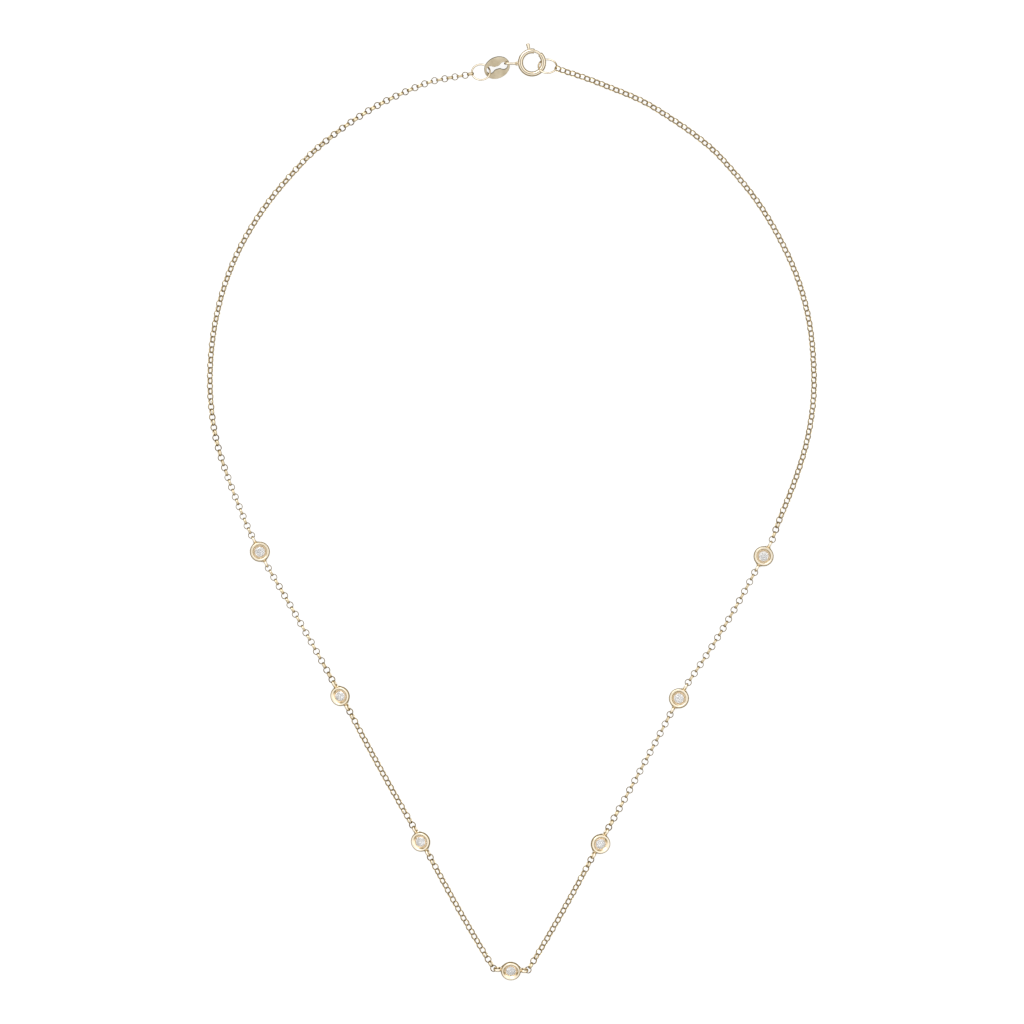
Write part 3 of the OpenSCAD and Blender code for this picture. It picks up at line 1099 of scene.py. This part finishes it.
@dataclass(frozen=True)
class TagPlate:
    """The bare oval tag, pierced by two round holes that a narrow slot joins.

    Attributes:
        at: Its centre.
        angle: Direction of its long side, in degrees.
        slot_angle: Direction of the line through its holes, in degrees.
        tip: Its tip about that line, in degrees.
        long_d, short_d, thickness: Its diameters and thickness.
        steps: Points on the outline.
        hole_r, hole_x, hole_steps: Radius and place of a hole, and steps round it.
        waist: Width of the slot half way.
        flare, flare_steps: Where on a hole's edge the slot flows in, in degrees, and its steps.
        edge, edge_steps: Rounding of all edges, and its steps.
        crease: Edges sharper than this many degrees stay sharp.
        face_turn, painted_shade_turn: Cosines of the turn from the plate's face up to which the
            mesh is its flat, and beyond which it is its side wall, which gets painted shade.
    """

    at: Point = (-2.65, 78.35, 0.92)
    angle: float = 29.0
    slot_angle: float = 17.0
    tip: float = 20.0
    long_d: float = 4.7
    short_d: float = 3.84
    thickness: float = 0.42
    steps: int = 72
    hole_r: float = 0.69
    hole_x: float = 1.22
    hole_steps: int = 14
    waist: float = 0.57
    flare: float = 45.0
    flare_steps: int = 6
    edge: float = 0.03
    edge_steps: int = 2
    crease: float = 50.0
    face_turn: float = 0.99
    painted_shade_turn: float = 0.8

    def outline(self) -> list[tuple[float, float]]:
        """The oval outside, drawn in by the edge rounding.

        Returns:
            Points round the oval.
        """
        turn = math.radians(self.angle - self.slot_angle)
        points = []
        for i in range(self.steps):
            a = math.tau * i / self.steps
            x = (self.long_d / 2 - self.edge) * math.cos(a)
            y = (self.short_d / 2 - self.edge) * math.sin(a)
            points.append((x * math.cos(turn) - y * math.sin(turn),
                           x * math.sin(turn) + y * math.cos(turn)))
        return points

    def opening(self) -> list[tuple[float, float]]:
        """The pierced shape: two round holes that flow into a narrow waist.

        Returns:
            Points round the opening.
        """
        radius, waist = self.hole_r + self.edge, self.waist / 2 + self.edge
        flare = math.radians(self.flare)
        meet = self.hole_x - radius * math.cos(flare)
        height, slope = radius * math.sin(flare), 1.0 / math.tan(flare)
        rise = []
        for i in range(self.flare_steps):
            t = i / self.flare_steps
            rise.append((meet * t, waist * (2 * t ** 3 - 3 * t ** 2 + 1)
                         + height * (3 * t ** 2 - 2 * t ** 3) + meet * slope * (t ** 3 - t ** 2)))
        quarter = rise + arc((self.hole_x, 0.0), radius, 180.0 - self.flare, 0.0, self.hole_steps)
        right = quarter + [(x, -y) for x, y in quarter[-2:0:-1]]
        return right + [(-x, -y) for x, y in right]

    def build(self, gold: bpy.types.Material) -> None:
        """Makes the plate.

        Args:
            gold: Its material.
        """
        curve = bpy.data.curves.new("tag_outline", "CURVE")
        curve.dimensions, curve.fill_mode = "2D", "BOTH"
        curve.extrude = (self.thickness / 2 - self.edge) * MM
        curve.bevel_depth, curve.bevel_resolution = self.edge * MM, self.edge_steps
        for loop in (self.outline(), self.opening()):
            spline = curve.splines.new("POLY")
            spline.points.add(len(loop) - 1)
            for point, (x, y) in zip(spline.points, loop):
                point.co = (x * MM, y * MM, 0.0, 1.0)
            spline.use_cyclic_u = True
        mesh = evaluated_mesh(scene_object("tag_outline", curve))
        lying = turned(x=self.tip, z=self.slot_angle)
        mesh.transform(moved(*(c * MM for c in self.at)) @ lying)
        merge(mesh, outward=True)
        face = lying.to_3x3() @ Vector((0.0, 0.0, 1.0))
        turns = [abs(polygon.normal.dot(face)) for polygon in mesh.polygons]
        # Painted shade: faces of the plate's side wall and edge rounding get the satin's dark
        # colour.
        mark_painted_light(mesh, [turn < self.painted_shade_turn for turn in turns], "FACE")
        piece = mesh_object("oval_tag_plate", mesh, gold, self.crease)
        for polygon, turn in zip(mesh.polygons, turns):
            polygon.use_smooth = turn < self.face_turn
        install(piece, "tag_plate")


@dataclass(frozen=True)
class SpringRing:
    """The spring ring clasp: a round tube with a bore, a sliding tongue and a trigger knob.

    Attributes:
        at: Its centre.
        radius: Radius of the tube's centreline.
        crease: Edges of the tube that are sharper than this many degrees stay sharp.
        painted_reflection_band, painted_reflection_band_z: Half the width of the dark painted
        reflection band round the tube's top and bottom, and how far from the centreline's plane it
        is at least.
        tongue, tongue_end: Radius of the tongue wire, and the share that is left at its ends.
        tongue_span: First and last angle of the tongue.
        tongue_steps, tongue_sides: Points along the tongue, and its sides.
        knob: Section of the knob and its neck, as radius and distance from the ring's centre.
        knob_sides, knob_angle: Sides of the knob, and where it stands, in degrees.
    """

    at: Point = (3.53, 79.25, 1.05)
    radius: float = 2.04
    crease: float = 45.0
    painted_reflection_band: float = 0.045
    painted_reflection_band_z: float = 0.3
    tongue: float = 0.25
    tongue_span: tuple[float, float] = (36.0, 112.0)
    tongue_steps: int = 22
    tongue_sides: int = 16
    tongue_end: float = 0.8
    knob: Profile = (
        (0.15, 2.04), (0.15, 2.52), (0.235, 2.52), (0.25, 2.54), (0.31, 3.27), (0.3, 3.34),
        (0.26, 3.395), (0.17, 3.43))
    knob_sides: int = 28
    knob_angle: float = 103.0

    def build_ring(self, gold: bpy.types.Material) -> None:
        """Makes the ring, a merged and smoothed copy of its construction node.

        Args:
            gold: Its material.
        """
        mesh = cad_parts["clasp_ring"].data.copy()
        merge(mesh, outward=False)
        own = [vertex.co / MM - Vector(self.at) for vertex in mesh.vertices]
        # Painted reflection: a thin dark band along the tube's top and bottom crest, where it
        # would mirror the dark zenith.
        mark_painted_light(mesh, [
            abs(math.hypot(p.x, p.y) - self.radius) < self.painted_reflection_band and abs(p.z) > self.painted_reflection_band_z
            for p in own])
        piece = mesh_object("spring_ring_tube", mesh, gold, self.crease)
        install(piece, "clasp_ring")

    def build_bolt(self, gold: bpy.types.Material) -> None:
        """Makes the tongue and its knob.

        Args:
            gold: Their material.
        """
        maker = Maker()
        place = moved(*self.at)
        radii = [self.tongue] * self.tongue_steps
        radii[0] = radii[-1] = self.tongue * self.tongue_end
        maker.wire(circle_path(self.radius, self.tongue_steps, *self.tongue_span), radii,
                   self.tongue_sides, place, closed=False)
        maker.spindle(self.knob, self.knob_sides,
                      place @ turned(z=self.knob_angle) @ turned(y=90.0))
        piece = maker.finish("clasp_tongue_and_knob", gold)
        install(piece, "clasp_bolt", Body.BOLT)


# Studio

@dataclass(frozen=True)
class Studio:
    """Floor, camera and light.

    Attributes:
        frame_mm, centre_y_mm: Width of the picture at the floor, and its middle along Y.
        camera_mm, sensor_mm: Height of the camera, and width of its sensor.
        near_m: Nearest distance that the camera shows.
        floor_m, floor_matt: Width of the floor, and the colour that it scatters.
        floor_glow: Light that it gives off, so that it stays white.
        floor_mirrored: Its colour where shiny metal mirrors it.
        dome: The sky's colours by height, from the horizon up.
        dome_light, dome_north, dome_east: Strength of the sky, and what those sides add.
        wall: The sky's colour where the camera sees it.
        panel_at, panel_m, panel_watts: Place, width and power of the soft panel.
    """

    frame_mm: float = 180.82
    camera_mm: float = 2000.0
    sensor_mm: float = 36.0
    near_m: float = 0.1
    centre_y_mm: float = -0.09
    floor_m: float = 12.0
    floor_matt: Point = (0.3, 0.3, 0.3)
    floor_glow: float = 0.8
    floor_mirrored: Point = (0.25, 0.21, 0.12)
    dome: Stops = (
        (0.0, (0.24, 0.19, 0.11)), (0.25, (0.42, 0.36, 0.25)), (0.42, (0.82, 0.77, 0.68)),
        (0.55, (1.0, 0.99, 0.97)), (0.96, (1.0, 1.0, 1.0)), (0.985, (0.7, 0.7, 0.7)),
        (1.0, (0.4, 0.4, 0.4)))
    dome_light: float = 1.22
    dome_north: float = 0.25
    dome_east: float = 0.1
    wall: Point = (0.95, 0.95, 0.95)
    panel_at: Point = (-0.6, 1.0, 1.2)
    panel_m: float = 1.0
    panel_watts: float = 4.6

    def build(self) -> None:
        """Makes the whole studio."""
        self._camera()
        self._floor()
        self._sky()
        self._panel()
        settings = bpy.context.scene.view_settings
        settings.view_transform, settings.look = "Standard", "None"

    def _camera(self) -> None:
        """Puts the camera straight above the necklace."""
        lens = bpy.data.cameras.new("camera")
        lens.sensor_width, lens.clip_start = self.sensor_mm, self.near_m
        lens.lens = self.sensor_mm * self.camera_mm / self.frame_mm
        made = scene_object("camera", lens)
        made.location = (0.0, self.centre_y_mm * MM, self.camera_mm * MM)
        bpy.context.scene.camera = made

    def _floor(self) -> None:
        """Makes the floor: a softly glowing white sheet, which shiny metal mirrors as dimmer."""
        half = self.floor_m / 2
        mesh = bpy.data.meshes.new("floor")
        mesh.from_pydata([(-half, -half, 0), (half, -half, 0), (half, half, 0), (-half, half, 0)],
                         [], [(0, 1, 2, 3)])
        material = bpy.data.materials.new("floor_white")
        shader = Shader(material)
        matt = shader.node("ShaderNodeBsdfDiffuse", {}, {"Color": (*self.floor_matt, 1.0)})
        glow = shader.node("ShaderNodeEmission", {}, {
            "Color": (1.0, 1.0, 1.0, 1.0), "Strength": self.floor_glow})
        bright = shader.node("ShaderNodeAddShader", {}, {0: matt, 1: glow})
        dim = shader.node("ShaderNodeBsdfDiffuse", {}, {"Color": (*self.floor_mirrored, 1.0)})
        mirrored = shader.node("ShaderNodeLightPath", output="Is Glossy Ray")
        seen = shader.node("ShaderNodeMixShader", {}, {0: mirrored, 1: bright, 2: dim})
        shader.node("ShaderNodeOutputMaterial", {}, {"Surface": seen})
        mesh_object("floor", mesh, material)

    def _sky(self) -> None:
        """Lights the scene softly from a dome that is bright above and dimmer at the horizon."""
        world = bpy.data.worlds.new("studio")
        shader = Shader(world)
        place = shader.node("ShaderNodeTexCoord", output="Generated")
        east, north, height = (
            shader.node("ShaderNodeSeparateXYZ", {}, {0: place}, axis) for axis in "XYZ")
        dome = shader.node("ShaderNodeValToRGB", {Shader.STOPS: self.dome}, {"Fac": height})
        soft = shader.node("ShaderNodeBackground", {}, {
            "Color": dome,
            "Strength": self.dome_light + north * self.dome_north + east * self.dome_east})
        wall = shader.node("ShaderNodeBackground", {}, {"Color": (*self.wall, 1.0)})
        direct = shader.node("ShaderNodeLightPath", output="Is Camera Ray")
        seen = shader.node("ShaderNodeMixShader", {}, {0: direct, 1: soft, 2: wall})
        shader.node("ShaderNodeOutputWorld", {}, {"Surface": seen})
        bpy.context.scene.world = world

    def _panel(self) -> None:
        """Hangs one soft panel to the north, turned towards the necklace."""
        light = bpy.data.lights.new("north_panel", "AREA")
        light.shape, light.size, light.energy = "SQUARE", self.panel_m, self.panel_watts
        made = scene_object("north_panel", light)
        made.location = self.panel_at
        made.rotation_euler = (-Vector(self.panel_at)).to_track_quat("-Z", "Y").to_euler()


# The necklace's own places

FRONT = (
    FrontStretch(1, 0.1, 2), FrontStretch(2, -0.15, 44), FrontStretch(3, -0.2, 46),
    FrontStretch(4, -0.2, 46), FrontStretch(5, -0.1, 3), FrontStretch(6, -0.35, 2),
)
BACK = (
    BackChain(Side.LEFT, 115, 11, (
        (-45.98, -4.2, 0.67, 0), (-47.2, -1.5, 0.63, 0), (-50, 5.6, 0.63, 4),
        (-52.2, 12.6, 0.63, 20), (-53.2, 19.7, 0.63, 36), (-53.2, 26.7, 0.63, 38),
        (-52.3, 33.8, 0.63, 38), (-50.4, 40.9, 0.63, 38), (-47.3, 47.9, 0.63, 40),
        (-42.7, 55, 0.63, 40), (-36.6, 62, 0.63, 34), (-32.6, 65.6, 0.63, 26),
        (-27.9, 69.1, 0.63, 18), (-22.4, 72.4, 0.63, 15), (-15.4, 75.5, 0.64, 8),
        (-11.8, 76.4, 0.75, 0), (-8.26, 76.99, 1.05, 0))),
    BackChain(Side.RIGHT, 116, 12, (
        (45.95, -4.95, 0.67, 0), (47.2, -1.5, 0.63, 30), (50, 5.6, 0.63, 45),
        (52.1, 12.6, 0.63, 45), (53.2, 19.7, 0.63, 45), (53.2, 26.7, 0.63, 45),
        (52.4, 33.8, 0.63, 45), (50.5, 40.9, 0.63, 45), (47.4, 47.9, 0.63, 45),
        (43.1, 55, 0.63, 45), (37.3, 62, 0.63, 45), (33.4, 65.6, 0.63, 45),
        (28.5, 69.1, 0.63, 45), (22.9, 72.5, 0.63, 45), (15.9, 75.4, 0.68, 45),
        (12.4, 76.7, 0.95, 45), (8.98, 77.81, 1.3, 45))),
)
END_LINKS = (
    EndLink(Side.LEFT, (-7.34, 77.21, 1.2), 84.0, 9.0),
    EndLink(Side.RIGHT, (8.1, 78.11, 1.5), 45.0, -19.0),
)
JUMP_RINGS = (
    JumpRing(Side.LEFT, (-5.48, 77.54, 1.06), -29.0),
    JumpRing(Side.RIGHT, (6.27, 78.58, 1.25), -39.0),
)


def main() -> None:
    """Builds the necklace and the studio."""
    logging.basicConfig(level=logging.INFO, format="%(message)s")
    palette = Palette()
    gold, chain_gold = palette.polished.material(), palette.chain.material()
    setting = BezelSetting()
    for index, station in enumerate(STATIONS, start=1):
        setting.build(index, station, gold)
    Brilliants().dress(palette.stone.material())
    size = LinkSize()
    tree = LinkTree(size)
    for stretch in FRONT:
        stretch.build(setting, tree, chain_gold)
    for chain in BACK:
        chain.build(tree, chain_gold)
    for link in END_LINKS:
        link.build(size, chain_gold)
    for ring in JUMP_RINGS:
        ring.build(gold)
    TagPlate().build(palette.satin.material())
    ConnectorRing().build(gold)
    clasp = SpringRing()
    clasp.build_ring(palette.tube.material())
    clasp.build_bolt(gold)
    Studio().build()


if __name__ == "__main__":
    main()
